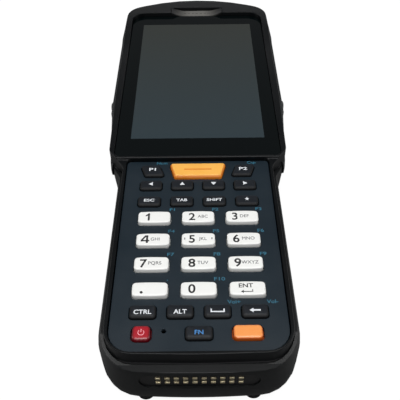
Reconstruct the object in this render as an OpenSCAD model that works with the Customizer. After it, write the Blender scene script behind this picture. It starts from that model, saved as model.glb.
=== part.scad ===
// Portable barcode data terminal: a one-hand computer with a display head, a narrower keypad grip
// and a scan engine behind a window in its top end. Millimetres. It lies on its back with +Z up
// from the display and +Y towards the head, and the origin is at the centre of its footprint.

/* [Body] */
// Width of the head's border beside the cover glass, out to the bumper's side
head_border = 5.75; // [5.4:0.05:7]
// Distance from the cover glass to the head's top end
top_border = 14.3; // [13:0.1:16]
// Width of the grip's shell beside the keypad panel
grip_side = 4; // [3.9:0.1:5]
// Height of the parting face that the front frame and its seal sit on
split_z = 21.6; // [21:0.1:23]
// Height of the grip's flat back above the surface it lies on
back_z = 0.9; // [0.7:0.1:1.8]
// Thickness of the rear case walls
wall = 2.8; // [2.2:0.1:3.2]
// Thickness of the rubber bumper round the head
bumper_t = 1.6; // [1.2:0.1:2]

/* [Front frame] */
// How far the front frame's edge lies inside the bumper's edge
frame_inset = 2.5; // [2.4:0.1:3]
// Height of the rim round the keypad above the parting face
rim_rise = 5.8; // [5.4:0.1:6.4]
// Height of the rim round the display above the keypad rim
head_rise = 0.9; // [0.5:0.1:1.4]
// Extra height of the rim at the top end, above the rest of the head's rim
brow_rise = 1.5; // [0.5:0.1:2]

/* [Display] */
// Width of the cover glass's black border beside the lit area
glass_side = 5.53; // [5:0.01:6.5]
// Width of the cover glass's border below the lit area
glass_chin = 10.3; // [8:0.1:12]
// Width of the cover glass's border above the lit area
glass_brow = 8.4; // [7:0.1:10]
// Thickness of the cover glass
glass_t = 1.2; // [0.8:0.1:1.6]
// Width of the display's lit area
active_w = 51.84; // [49:0.1:53]
// Length of the display's lit area
active_len = 86.4; // [82:0.2:88]

/* [Keypad] */
// Width of the keypad panel beside the number keys
panel_side = 5.95; // [5.4:0.05:6.4]
// Distance from the scan key's middle to the keypad panel's top edge
panel_head = 5.7; // [5.5:0.1:7]
// Distance from the power key's middle to the keypad panel's bottom edge
panel_foot = 5.7; // [5.2:0.1:7]
// Thickness of the keypad panel
panel_t = 1.6; // [1.2:0.1:2]
// Spacing of the three number columns
number_pitch = 14.9; // [13.6:0.1:15.6]
// Spacing of the four function columns
function_pitch = 11.1; // [10.2:0.1:11.6]
// Spacing of the number rows
row_pitch = 9.85; // [9.3:0.05:10.5]
// From the scan key down to the arrow keys
arrow_step = 7.5; // [7.4:0.1:9]
// From the arrow keys down to the escape row
edit_step = 7.9; // [7:0.1:8.5]
// From the escape row down to the first number row
number_step = 8; // [7.2:0.1:8.5]
// From the last number row down to the control row
control_step = 7.7; // [7.4:0.1:8.5]
// From the control row down to the power key's row
power_step = 7.2; // [6.8:0.1:8]
// Width of a number key
number_w = 10.9; // [9.5:0.1:11.4]
// Depth of a number key
number_d = 5.2; // [4.4:0.1:5.6]
// Width of a function key
function_w = 7.8; // [7:0.1:8.6]
// Depth of a function key
function_d = 4.4; // [3.4:0.1:4.6]
// Travel of a key when pressed
key_travel = 0.6; // [0.4:0.05:0.8]
// Gap between a key and the edge of its hole
key_gap = 0.25; // [0.15:0.05:0.35]

/* [Battery] */
// Width of the battery pack
pack_w = 49; // [46:0.5:49]
// Length of the battery pack
pack_len = 93.9; // [88:0.5:94.4]
// Depth of the battery pack from the back face
pack_t = 11.4; // [9:0.1:11.6]
// Gap round the battery pack in its bay
pack_gap = 0.3; // [0.2:0.05:0.5]
// Travel of the battery latch
latch_travel = 2.5; // [2:0.1:3]

/* [Dock connector] */
// Number of contacts in a row
contact_count = 10; // [6:1:10]
// Spacing of the contacts along a row
contact_pitch = 2.7; // [2.5:0.1:2.8]
// Spacing of the two contact rows
contact_row_pitch = 2.54; // [2:0.02:2.8]

/* [Side keys] */
// Length of a side key
side_key_len = 16; // [12:0.5:18]
// Height of a side key
side_key_h = 5.8; // [5:0.1:6.4]
// Travel of a side key
side_key_travel = 0.6; // [0.4:0.05:0.8]

/* [Hidden] */
$fn = 48;
EPS = 0.01;
FAR = 200;
SEG = 6;

// ---- heights, from the parting face up and from the back up ----
glass_w = active_w + 2 * glass_side;
glass_len = active_len + glass_chin + glass_brow;
panel_w = 2 * number_pitch + number_w + 2 * panel_side;
panel_len = panel_head + arrow_step + edit_step + number_step + 3 * row_pitch + control_step
    + power_step + panel_foot;
head_w = glass_w + 2 * head_border;
grip_w = panel_w + 2 * grip_side;
head_half = head_w / 2;
grip_half = grip_w / 2;
seal_t = 0.8;
frame_z = split_z + seal_t;
rim_z = split_z + rim_rise;
lip_z = rim_z + head_rise;
brow_z = lip_z + brow_rise;
panel_z = rim_z - 1;
panel_low_z = panel_z - panel_t;
glass_drop = 0.4;
glass_z = lip_z - glass_drop;
glass_low_z = glass_z - glass_t;
gasket_t = 0.5;
glass_seat_z = glass_low_z - gasket_t;
widest_z = 18;
shoulder_slope = 1;
belly_z = 9.4;
bay_floor_z = back_z + pack_t + pack_gap;
deck_t = 1.2;
deck_z = bay_floor_z + deck_t;
board_z = deck_z + 1.3;
board_t = 1.2;
chassis_t = 1.4;
key_board_t = 1.2;
key_board_z = frame_z - 2;
chassis_z = key_board_z - chassis_t;
shelf_t = split_z - key_board_z + chassis_t + 0.4;
shelf_in = wall + 1.2;

// ---- lengthways places, from the bottom end up ----
top_bulge = 0.63;
bottom_bulge = 0.18;
frame_gap = 0.25;
end_wall = 2.1;
frame_rim = 1.3;
panel_seam = 0.2;
chin_rim = 1.2;
body_len = bottom_bulge + end_wall + frame_rim + panel_len + panel_seam + chin_rim + glass_len
    + top_border + top_bulge;
y_bot = -body_len / 2 + bottom_bulge;
frame_end = y_bot + end_wall;
panel_end = frame_end + frame_rim;
panel_top = panel_end + panel_len;
chin_y = panel_top + panel_seam;
glass_y0 = chin_y + chin_rim;
glass_y1 = glass_y0 + glass_len;
y_top = glass_y1 + top_border;
active_y0 = glass_y0 + glass_chin;
frame_half = grip_half - 2.5;
chin_rib_t = 1.4;

// ---- rounded polygons: a corner is [x, y, radius], anticlockwise ----
function unit(v) = v / norm(v);
function left(v) = [-v.y, v.x];
function turned(v, a) = [v.x * cos(a) - v.y * sin(a), v.x * sin(a) + v.y * cos(a)];
function xy(v) = [v.x, v.y];
function edge(c, i) = unit(xy(c[(i + 1) % len(c)]) - xy(c[i]));
function turn_at(u, w) = atan2(u.x * w.y - u.y * w.x, u * w);

// One corner moved inwards by d, with the radius that keeps the offset parallel
function inset_corner(c, i, d) =
    let (u = edge(c, (i + len(c) - 1) % len(c)), w = edge(c, i), nu = left(u), nw = left(w),
         p = xy(c[i]) + d * (nu + nw) / (1 + nu * nw),
         r = c[i][2] - sign(turn_at(u, w)) * d)
    [p.x, p.y, max(r, 0.3)];

function inset_corners(c, d) = [for (i = [0:len(c) - 1]) inset_corner(c, i, d)];

// The points along one rounded corner
function corner_points(c, i, seg) =
    let (u = edge(c, (i + len(c) - 1) % len(c)), w = edge(c, i), t = turn_at(u, w),
         r = c[i][2], start = xy(c[i]) - u * r * tan(abs(t) / 2),
         centre = start + sign(t) * r * left(u))
    [for (k = [0:seg]) centre + turned(start - centre, t * k / seg)];

function outline(c, d = 0, seg = SEG) =
    let (m = inset_corners(c, d)) [for (i = [0:len(c) - 1], p = corner_points(m, i, seg)) p];

// Right-hand corners listed upwards, closed by their mirror image
function mirrored(first, side, last) =
    concat([first], side, [last], [for (i = [len(side) - 1:-1:0]) [-side[i][0], side[i][1], side[i][2]]]);

function box_corners(w, y0, y1, r) =
    [[-w / 2, y0, r], [w / 2, y0, r], [w / 2, y1, r], [-w / 2, y1, r]];

module plate(corners, z0, z1, d = 0) {
    translate([0, 0, z0]) linear_extrude(z1 - z0) polygon(outline(corners, d));
}

module ring(corners, z0, z1, d_out, d_in) {
    difference() {
        plate(corners, z0, z1, d_out);
        plate(corners, z0 - 1, z1 + 1, d_in);
    }
}

// A slab that spans x, with its side profile given as [y, z] points
module profile_slab(points, half = FAR / 2) {
    rotate([90, 0, 90]) translate([0, 0, -half]) linear_extrude(2 * half) polygon(points);
}

// ---- plan outlines ----
// Widest outline of the body, over the bumper
body_corners = mirrored(
    [0, y_bot - 0.5, 260],
    [[grip_half, y_bot + 1, 11.9],
     [grip_half - 0.1, y_bot + 35.3, 150],
     [grip_half - 0.2, chin_y - 7.1, 10],
     [head_half - 3.1, chin_y + 4.4, 22],
     [head_half - 0.3, chin_y + 38.9, 130],
     [head_half - 0.2, y_top - 32.3, 5],
     [head_half, y_top - 26.3, 8],
     [head_half - 0.6, y_top - 8.5, 12.2]],
    [0, y_top + 6.6, 70]);
HEAD_FIRST = 4;
// The shoulders slant towards the head below the widest height, so that a hand closes under them
function is_shoulder(c, i) = i == 3 || i == 4 || i == len(c) - 3 || i == len(c) - 4;
function swept(c, d) = [for (i = [0:len(c) - 1]) is_shoulder(c, i) ? [c[i].x, c[i].y + d, c[i][2]] : c[i]];
function sweep_at(z) = shoulder_slope * max(widest_z - z, 0);
function is_head(i) = i >= HEAD_FIRST && i <= len(body_corners) - HEAD_FIRST;
// The bumper thins out at its two lower ends, on the shoulders
tail_t = 0.8;
function cover_t(i) = !is_head(i) ? 0
    : i == HEAD_FIRST || i == len(body_corners) - HEAD_FIRST ? tail_t : bumper_t;

// Outline of the rear case: the same grip, with the head set in under the bumper
case_corners = [for (i = [0:len(body_corners) - 1])
    is_head(i) ? inset_corner(body_corners, i, cover_t(i)) : body_corners[i]];

// Outline of the front frame: a narrow rim round the keypad and a shoulder out to the head
frame_head = [for (i = [HEAD_FIRST + 1:len(body_corners) - HEAD_FIRST - 1])
    inset_corner(body_corners, i, frame_inset)];
frame_corners = concat(
    [[0, frame_end - 0.25, 260], [frame_half - 0.2, frame_end + 0.4, 8.5],
     [frame_half + 0.1, y_bot + 35.3, 150], [frame_half - 0.1, chin_y - 4, 3.5],
     [head_half - frame_inset - 1.1, chin_y + 4.3, 4.5]],
    frame_head,
    [[-head_half + frame_inset + 1.1, chin_y + 4.3, 4.5], [-frame_half + 0.1, chin_y - 4, 3.5],
     [-frame_half - 0.1, y_bot + 35.3, 150], [-frame_half + 0.2, frame_end + 0.4, 8.5]]);

glass_corners = [[-glass_w / 2, glass_y0, 2.5], [glass_w / 2, glass_y0, 2.5],
                 [glass_w / 2, glass_y1, 6.5], [-glass_w / 2, glass_y1, 6.5]];
panel_corners = [[-panel_w / 2, panel_end, 7], [panel_w / 2, panel_end, 7],
                 [panel_w / 2, panel_top, 1.5], [-panel_w / 2, panel_top, 1.5]];

// ---- how far the body's side draws in at each height: a round belly and a softer shoulder ----
belly_in = 3.2;
brow_in = 4.2;
brow_h = 9.5;
case_rim_z = 25;
end_lip_z = 20.3;
belly_steps = [for (a = [0:18:90]) [belly_z - (belly_z - back_z) * cos(a), belly_in * (1 - sin(a))]];
function top_step(z) = [z, brow_in * (1 - sqrt(1 - pow((z - widest_z) / brow_h, 2)))];
case_steps = concat(belly_steps, [for (z = [widest_z, 20.4, 22.8, case_rim_z]) top_step(z)]);
bumper_low_z = 4.6;
bumper_high_z = split_z + 3;
function belly_step(z) = [z, belly_in * (1 - sqrt(1 - pow((belly_z - z) / (belly_z - back_z), 2)))];
bumper_steps = concat([belly_step(bumper_low_z), belly_steps[4], [belly_z, 0]],
                      [for (z = [widest_z, 20.4, 22.6, bumper_high_z]) top_step(z)]);
// The bumper's inside stays clear of the front frame's edge
bumper_lap = 0.04;
lining_steps = [for (s = bumper_steps)
    [s[0], s[0] > split_z ? min(s[1], frame_inset - frame_gap - 0.05 - bumper_t + bumper_lap) : s[1]]];

// One level of a loft, started at the middle of the bottom end so that it mirrors in x
function level(corners, step) =
    let (p = outline(swept(corners, sweep_at(step[0])), step[1]), n = len(p))
    [for (i = [0:n - 1]) let (q = p[(i + SEG / 2) % n]) [q.x, q.y, step[0]]];

// A solid through levels, capped by strips that run across from side to side
module loft(corners, steps) {
    n = len(corners) * (SEG + 1);
    m = len(steps);
    half = n / 2;
    sides = [for (k = [0:m - 2], i = [0:n - 1])
        [k * n + i, (k + 1) * n + i, (k + 1) * n + (i + 1) % n, k * n + (i + 1) % n]];
    function strip(i) = i == 0 ? [0, 1, n - 1]
        : i == half - 1 ? [half - 1, half, half + 1]
        : [i, i + 1, n - i - 1, n - i];
    low = [for (i = [0:half - 1]) strip(i)];
    high = [for (i = [0:half - 1]) let (s = strip(i)) [for (j = [len(s) - 1:-1:0]) s[j] + (m - 1) * n]];
    polyhedron([for (s = steps, p = level(corners, s)) p], concat(sides, low, high));
}

// A band between two outlines that match corner for corner, along part of the way round
module band(outer, inner, steps, lining_steps, first, last) {
    m = len(steps);
    row = 2 * m;
    count = last - first + 1;
    points = [for (j = [first:last]) each concat(
        [for (s = steps) let (p = outline(swept(outer, sweep_at(s[0])), s[1])[j]) [p.x, p.y, s[0]]],
        [for (s = lining_steps) let (p = outline(swept(inner, sweep_at(s[0])), s[1])[j]) [p.x, p.y, s[0]]])];
    skin = [for (j = [0:count - 2], k = [0:m - 2]) let (a = j * row + k)
        [a, a + 1, a + row + 1, a + row]];
    lining = [for (j = [0:count - 2], k = [0:m - 2]) let (a = j * row + m + k)
        [a, a + row, a + row + 1, a + 1]];
    foot = [for (j = [0:count - 2]) let (a = j * row) [a, a + row, a + row + m, a + m]];
    crest = [for (j = [0:count - 2]) let (a = j * row + m - 1) [a, a + m, a + row + m, a + row]];
    start = [for (k = [0:m - 2]) [k, k + m, k + m + 1, k + 1]];
    end = [for (k = [0:m - 2]) let (a = (count - 1) * row + k) [a, a + 1, a + m + 1, a + m]];
    polyhedron(points, concat(skin, lining, foot, crest, start, end));
}

// ---- the keys: [name, x, y, kind] ----
scan_y = panel_top - panel_head;
arrow_y = scan_y - arrow_step;
edit_y = arrow_y - edit_step;
first_row_y = edit_y - number_step;
control_y = first_row_y - 3 * row_pitch - control_step;
power_y = control_y - power_step;
function number_x(c) = (c - 1) * number_pitch;
function function_x(c) = (c - 1.5) * function_pitch;
edit_x_step = 0.3;
arrow_x_step = 0.12;
number_names = ["key_1", "key_2", "key_3", "key_4", "key_5", "key_6", "key_7", "key_8", "key_9",
                "key_point", "key_0", "key_enter"];
arrow_names = ["key_left", "key_up", "key_down", "key_right"];
edit_names = ["key_esc", "key_tab", "key_shift", "key_star"];
control_names = ["key_ctrl", "key_alt", "key_space", "key_backspace"];
keys = concat(
    [["key_scan", 0, scan_y, "scan"],
     ["key_p1", -1.5 * function_pitch, scan_y, "slant_left"],
     ["key_p2", 1.5 * function_pitch, scan_y, "slant_right"]],
    [for (c = [0:3]) [arrow_names[c], function_x(c) + (c - 1.5) * arrow_x_step, arrow_y, "function"]],
    [for (c = [0:3]) [edit_names[c], function_x(c) + (c - 1.5) * edit_x_step, edit_y, "function"]],
    [for (i = [0:11]) [number_names[i], number_x(i % 3), first_row_y - floor(i / 3) * row_pitch, "number"]],
    [for (c = [0:3]) [control_names[c], function_x(c), control_y, "function"]],
    [["key_power", -1.5 * function_pitch, power_y, "power"],
     ["key_fn", 0, power_y, "function"],
     ["key_blank", number_pitch - 0.8, power_y, "blank"]]);

scan_w = 21;
scan_d = 7.4;
scan_slant = 2;
slant_w = 9;
slant_d = 5.6;
slant_run = 1.9;
power_w = 5.6;
power_d = 4.8;
blank_w = 8.8;
blank_d = 4.5;

function block(w, d, r) = [[-w / 2, -d / 2, r], [w / 2, -d / 2, r], [w / 2, d / 2, r], [-w / 2, d / 2, r]];
// A leaning key: its top edge is moved sideways by run
function leaning(w, d, run) =
    [[-w / 2 - run / 2, -d / 2, 0.9], [w / 2 - run / 2, -d / 2, 0.9],
     [w / 2 + run / 2, d / 2, 0.9], [-w / 2 + run / 2, d / 2, 0.9]];
function key_corners(kind) =
    kind == "number" ? block(number_w, number_d, 1.1)
    : kind == "function" ? block(function_w, function_d, 1)
    : kind == "scan" ? [[-scan_w / 2 + scan_slant, -scan_d / 2, 1], [scan_w / 2 - scan_slant, -scan_d / 2, 1],
                        [scan_w / 2, scan_d / 2, 1], [-scan_w / 2, scan_d / 2, 1]]
    : kind == "slant_left" ? leaning(slant_w - slant_run, slant_d, -slant_run)
    : kind == "slant_right" ? leaning(slant_w - slant_run, slant_d, slant_run)
    : kind == "power" ? block(power_w, power_d, 1.4)
    : block(blank_w, blank_d, 1.2);
function key_rise(kind) =
    kind == "number" || kind == "scan" ? 1.3 : kind == "blank" ? 1.2 : kind == "power" ? 1 : 0.9;
function key_colour(kind) =
    kind == "number" ? "white" : kind == "scan" || kind == "blank" ? "orange"
    : kind == "power" ? "crimson" : "#15181c";

flange_grow = 0.6;
flange_t = 0.8;
flange_gap = 0.1;
flange_z = panel_low_z - flange_gap - flange_t;
plunger_r = 1.2;
dome_r = 2;
dome_h = 0.3;
key_board_top = key_board_z + key_board_t;
plunger_z = key_board_top + dome_h + key_travel + 0.05;
mat_t = 1;
mat_foot_h = flange_z - key_travel - 0.1 - mat_t - key_board_top;
mat_z = key_board_top + mat_foot_h;
board_corners = box_corners(panel_w - 3.4, panel_end + 2.4, panel_top - 1.8, 4);

module keycap(k) {
    corners = key_corners(k[3]);
    top = panel_z + key_rise(k[3]);
    color(key_colour(k[3])) translate([k[1], k[2], 0]) {
        plate(corners, flange_z, flange_z + flange_t, -flange_grow);
        plate(corners, flange_z + flange_t - EPS, top - 0.4);
        plate(corners, top - 0.4 - EPS, top, 0.35);
        translate([0, 0, plunger_z]) cylinder(r = plunger_r, h = flange_z - plunger_z + EPS);
    }
}

// ---- screws: [x, y] ----
screw_places = [for (s = [-1, 1], p = [[grip_half - 6.3, panel_end + 6.4], [head_half - 7.2, chin_y + 59.1],
    [head_half - 11.4, y_top - 16.6]]) [s * p.x, p.y]];
screw_r = 0.9;
screw_head_r = 1.5;
screw_head_h = 1.4;
post_r = 2.3;
screw_top_z = frame_z + 1.6;
screw_seat_z = 5.6;
sleeve_z = 2.2;

module at_screws() {
    for (p = screw_places) translate([p.x, p.y, 0]) children();
}

// ---- things in the back and ends ----
pack_y1 = chin_y + 33.1;
pack_y0 = pack_y1 - pack_len;
pack_corners = box_corners(pack_w, pack_y0, pack_y1, 5);
cavity_y = pack_y1 + 14.8;
well_z = 6.6;
hump_corners = box_corners(pack_w - 3, cavity_y + 1, y_top - 10.3, 8);
hump_cut_z = 2.8;
blade_z = back_z + pack_t - 4.6;
latch_y = pack_y1 + 7.6;
latch_w = 13;
latch_flange_w = 15.4;
latch_len = 6;
latch_tongue_w = 8;
latch_z = back_z + 0.15;
latch_gap = 0.15;
latch_tab_t = 0.65;
latch_tab_gap = 0.1;
camera_place = [-11, y_top - 27.3];
flash_place = [-11, camera_place.y - 12];
speaker_y = cavity_y + 13;
speaker_len = 11;
speaker_w = 22;
motor_place = [17, camera_place.y];
engine_y = y_top - 20.8;
engine_len = 13;
engine_w = 23;
engine_top = deck_z - 0.1;
window_w = 26;
window_z0 = 5.4;
window_z1 = 14.6;
window_t = 1.2;
window_y = y_top - bumper_t - 2.6;
dock_z = 14.8;
dock_w = 35.6;
dock_h = 7.4;
dock_depth = 0.8;
dock_face_y = y_bot + dock_depth;
side_key_y = chin_y + 45.5;
side_key_z = board_z + board_t + 1;
side_key_back = head_half - bumper_t + 0.42;
side_key_t = 1;
nub_rise = 0.8;
switch_x = head_half - 8.2;
shaft_x = switch_x + 1.3 + side_key_travel + 0.1;
brow_y = glass_y1 - 33.5;
receiver_w = 25;
receiver_flat = 13;
receiver_len = 5.2;
receiver_t = 0.6;
receiver_y0 = glass_y1 + 0.15;
receiver_floor = glass_z + 0.05;
receiver_sag = brow_z - receiver_floor;
ear_w = 15;
ear_len = 5;
ear_y = receiver_y0 + 0.3;
ear_top_z = glass_seat_z;
foot_place = [grip_half - 13.6, y_bot + 4.4];
foot_r = 2.6;
foot_stem_r = 1.2;
foot_seat_z = 2;

// A rectangle with round ends, standing in the XZ plane and cut along Y
module end_slot(w, h, y0, y1, z) {
    translate([0, y1, z]) rotate([90, 0, 0]) linear_extrude(y1 - y0)
        polygon(outline(block(w, h, h / 2 - 0.1)));
}

// The floor of the earpiece scoop, seen from its end: flat, with rising ends, d below its surface
function receiver_rise(x) = pow(max(0, (2 * x - receiver_flat) / (receiver_w - receiver_flat)), 1.5);
function receiver_arc(d = 0) = [for (k = [-8:8]) let (x = abs(k) / 8 * receiver_w / 2)
    [sign(k) * (x + d / 4), receiver_floor + receiver_sag * receiver_rise(x) - d]];
function receiver_corners(d) =
    let (w = receiver_w / 2 + 0.6 - d)
    [[-w, receiver_y0 - 0.2 + d, 0.2], [w, receiver_y0 - 0.2 + d, 0.2],
     [w, receiver_y0 + receiver_len - d, 2.6], [-w, receiver_y0 + receiver_len - d, 2.6]];
module receiver_scoop(profile, d) {
    intersection() {
        translate([0, receiver_y0 + 20, 0]) rotate([90, 0, 0]) linear_extrude(40) polygon(profile);
        plate(receiver_corners(d), 0, FAR);
    }
}

// ---- housing ----
module rear_case() {
    color("#26292c") difference() {
        union() {
            loft(case_corners, case_steps);
            plate(hump_corners, 0, hump_cut_z);
        }
        // room for the boards, closed below by the deck over the battery bay
        plate(swept(case_corners, sweep_at(deck_z)), deck_z, widest_z + EPS, wall);
        plate(case_corners, widest_z, split_z - shelf_t + EPS, wall);
        plate(case_corners, split_z - shelf_t, split_z + EPS, shelf_in);
        plate(frame_corners, split_z, FAR, -frame_gap);
        // the rim dips at the bottom end and under the head's frame
        profile_slab([[-FAR, FAR], [-FAR, end_lip_z], [y_bot + 0.3, end_lip_z],
                      [y_bot + 2, split_z], [y_bot + 4.2, frame_z + 0.2],
                      [y_bot + 11, case_rim_z + 0.2], [-27, case_rim_z + 0.2],
                      [-17.5, split_z], [FAR, split_z], [FAR, FAR]]);
        // head cavity behind the battery
        intersection() {
            plate(case_corners, hump_cut_z, well_z + EPS, belly_in + 1.7);
            translate([-FAR / 2, cavity_y, 0]) cube([FAR, FAR, FAR]);
        }
        intersection() {
            plate(case_corners, well_z, deck_z + EPS, wall + 0.8);
            translate([-FAR / 2, pack_y1 + pack_gap + wall, 0]) cube([FAR, FAR, FAR]);
        }
        translate([6.3 - grip_half, y_bot + wall + 0.9, 3.5])
            cube([grip_w - 12.6, pack_y0 - y_bot - 2 * wall - 0.9, deck_z]);
        plate(pack_corners, -1, bay_floor_z, -pack_gap);
        for (i = [-2:2]) translate([i * 4 - 0.55, pack_y1, blade_z - 0.05]) cube([1.1, 5, 1.3]);
        latch_pocket();
        dock_pocket();
        scan_pocket();
        at_screws() {
            translate([0, 0, -1]) cylinder(r = screw_head_r + 0.2, h = screw_seat_z + 1);
            translate([0, 0, -1]) cylinder(r = screw_r + 0.15, h = FAR);
            translate([0, 0, chassis_z]) cylinder(r = post_r, h = FAR);
        }
        speaker_slots();
        translate([camera_place.x, camera_place.y, -1]) cylinder(r = 3.2, h = 10);
        translate([camera_place.x, camera_place.y, -1]) cylinder(r = 5.2, h = 2.6);
        translate([flash_place.x, flash_place.y, -1]) cylinder(r = 1.6, h = 10);
        for (s = [-1, 1]) {
            translate([s * foot_place.x, foot_place.y, -1]) cylinder(r = foot_r + 0.1, h = 1 + foot_seat_z);
            translate([s * foot_place.x, foot_place.y, -1]) cylinder(r = foot_stem_r + 0.1, h = 2.4 + foot_seat_z);
            translate([s * switch_x, side_key_y, side_key_z]) rotate([0, s * 90, 0]) cylinder(r = 1.7, h = 20);
        }
    }
    color("#26292c") case_bosses();
}

// Posts that carry the chassis and the main board, with a sleeve round each screw head
module case_bosses() {
    at_screws() difference() {
        union() {
            translate([0, 0, screw_seat_z + 1]) cylinder(r = post_r, h = chassis_z - screw_seat_z - 1);
            translate([0, 0, sleeve_z]) cylinder(r = screw_head_r + 1.3, h = screw_seat_z + 1.8 - sleeve_z);
        }
        cylinder(r = screw_head_r + 0.2, h = screw_seat_z);
        cylinder(r = screw_r + 0.15, h = FAR);
    }
    for (s = [-1, 1], y = [y_bot + 23.3, chin_y - 11, chin_y + 27])
        translate([s * (pack_w / 2 - 3.5), y, deck_z - 0.2])
            cylinder(r = 1.8, h = board_z - deck_z + 0.2);
}

module latch_pocket() {
    y0 = latch_y - latch_len / 2 - latch_travel - 0.4;
    len_y = latch_len + latch_travel + 0.8;
    translate([-latch_w / 2 - latch_gap, y0, -1]) cube([latch_w + 2 * latch_gap, len_y, 4]);
    translate([-latch_flange_w / 2 - latch_gap, y0, back_z + 1.6])
        cube([latch_flange_w + 2 * latch_gap, len_y, 1.7]);
}

module dock_pocket() {
    end_slot(dock_w, dock_h, y_bot - 5, y_bot + 4, dock_z);
    translate([-18.2, y_bot + wall - 0.1, dock_z - 4.5]) cube([36.4, 8.6, 8]);
}

module scan_pocket() {
    translate([-window_w / 2 - 0.1, window_y, window_z0 - 0.1])
        cube([window_w + 0.2, 20, window_z1 - window_z0 + 0.2]);
    translate([-window_w / 2 + 2, window_y - 5, window_z0 + 1.2])
        cube([window_w - 4, 10, window_z1 - window_z0 - 2.4]);
}

module speaker_slots() {
    for (i = [-2:2]) translate([0, speaker_y + i * 2.2, -1])
        linear_extrude(6) polygon(outline(block(14, 1, 0.45)));
}

module front_frame() {
    color("#2c3034") difference() {
        intersection() {
            plate(frame_corners, frame_z, FAR);
            profile_slab(concat(
                [[-FAR, 0], [-FAR, rim_z], [chin_y - 0.2, rim_z], [chin_y + 0.2, lip_z]],
                [for (t = [0:0.125:1])
                    [brow_y + t * (glass_y1 - brow_y), lip_z + brow_rise * (1 - cos(180 * t)) / 2]],
                [[FAR, brow_z], [FAR, 0]]));
        }
        plate(glass_corners, glass_seat_z, FAR, -0.15);
        lcd_window();
        frame_hollow();
        plate(panel_corners, panel_low_z, FAR, -frame_gap);
        plate(panel_corners, 0, FAR, 1.2);
        receiver_scoop(concat(receiver_arc(receiver_t + 0.1), [[receiver_w, FAR], [-receiver_w, FAR]]), 0);
        translate([-ear_w / 2 - 0.15, ear_y - 0.15, 0]) cube([ear_w + 0.3, ear_len + 0.3, ear_top_z + 0.1]);
        translate([-ear_w / 2 + 1, ear_y + 1.2, 0]) cube([ear_w - 2, 2, receiver_floor]);
        at_screws() cylinder(r = screw_r + 0.05, h = screw_top_z + 0.2);
    }
    color("#2c3034") at_screws() difference() {
        translate([0, 0, key_board_z]) cylinder(r = post_r - 0.3, h = panel_low_z - key_board_z - EPS);
        cylinder(r = screw_r + 0.05, h = screw_top_z + 0.2);
    }
}

module lcd_window() {
    plate(lcd_corners(), 0, FAR, -0.3);
}

// Hollows under the frame: a rim ledge carries the keypad panel, a plate carries the glass
module frame_hollow() {
    ledge = 0.9;
    difference() {
        plate(frame_corners, 0, panel_low_z - ledge, 1.3);
        translate([-FAR / 2, chin_y - chin_rib_t, 0]) cube([FAR, chin_rib_t, FAR]);
    }
}

module head_bumper() {
    n = SEG + 1;
    difference() {
        color("#141517") band(body_corners, bumper_lining, bumper_steps, lining_steps,
                              HEAD_FIRST * n, (len(body_corners) - HEAD_FIRST + 1) * n - 1);
        translate([-window_w / 2 - 1.5, 0, window_z0 - 1.5])
            cube([window_w + 3, FAR, window_z1 - window_z0 + 3]);
        for (s = [-1, 1]) translate([s * head_half, side_key_y, side_key_z])
            cube([12, side_key_len + 0.5, side_key_h + 0.5], center = true);
        plate(frame_corners, split_z, FAR, -frame_gap);
    }
}
bumper_lining = [for (i = [0:len(body_corners) - 1])
    is_head(i) ? inset_corner(body_corners, i, cover_t(i) - bumper_lap) : body_corners[i]];

module case_seal() {
    color("#3a3a3a") ring(frame_corners, split_z, frame_z, 0.2, 1);
}

// ---- display ----
function lcd_corners() = box_corners(active_w + 3, active_y0 - 3.2, active_y0 + active_len + 3.2, 0.6);

module display_glass() {
    color("#0b1114") plate(glass_corners, glass_low_z, glass_z);
}

module glass_gasket() {
    color("#202020") difference() {
        plate(glass_corners, glass_seat_z, glass_low_z, 0.3);
        plate(lcd_corners(), 0, FAR, -0.5);
    }
}

module lcd_module() {
    color("#39403f") plate(lcd_corners(), chassis_tray_z(), glass_seat_z);
}
function chassis_tray_z() = key_board_z + 1.8;

module receiver_grille() {
    color("#5a5d60") difference() {
        receiver_scoop(concat(receiver_arc(receiver_t), [for (i = [16:-1:0]) receiver_arc()[i]]), 0.15);
        for (i = [-3:3]) translate([i * 2, ear_y + 2.2, 0]) cube([1.2, 0.5, 4 * FAR], center = true);
    }
}

module earpiece() {
    color("#777777") translate([-ear_w / 2, ear_y, ear_top_z - 2.4]) cube([ear_w, ear_len, 2.4]);
}

// ---- keypad ----
module keypad_panel() {
    color("#262e36") difference() {
        plate(panel_corners, panel_low_z, panel_z);
        for (k = keys) translate([k[1], k[2], 0]) plate(key_corners(k[3]), 0, FAR, -key_gap);
        translate([-10.2, power_y + 1, 0]) cylinder(r = 0.7, h = FAR);
    }
}

module around_posts() {
    difference() {
        children();
        at_screws() cylinder(r = post_r + 0.3, h = FAR);
    }
}

module keypad_mat() {
    color("#4a4e55") around_posts() difference() {
        union() {
            plate(board_corners, mat_z, mat_z + mat_t, 0.2);
            ring(board_corners, key_board_top, mat_z + EPS, 0.2, 1.2);
        }
        for (k = keys) translate([k[1], k[2], 0]) cylinder(r = plunger_r + 0.4, h = FAR);
    }
}

module key_domes() {
    color("silver") for (k = keys) translate([k[1], k[2], key_board_top])
        cylinder(r1 = dome_r, r2 = dome_r - 0.9, h = dome_h);
}

module keypad_board() {
    color("darkgreen") around_posts() plate(board_corners, key_board_z, key_board_top);
}

// ---- inside ----
module mid_frame() {
    color("#9a9d9f") difference() {
        union() {
            plate(case_corners, chassis_z, key_board_z, shelf_in + 0.3);
            ring(lcd_corners(), key_board_z - EPS, chassis_tray_z(), 0, 2.5);
        }
        at_screws() cylinder(r = screw_r + 0.15, h = FAR);
        translate([-6, y_bot + 21, 0]) cube([12, 8, FAR]);
    }
}

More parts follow.
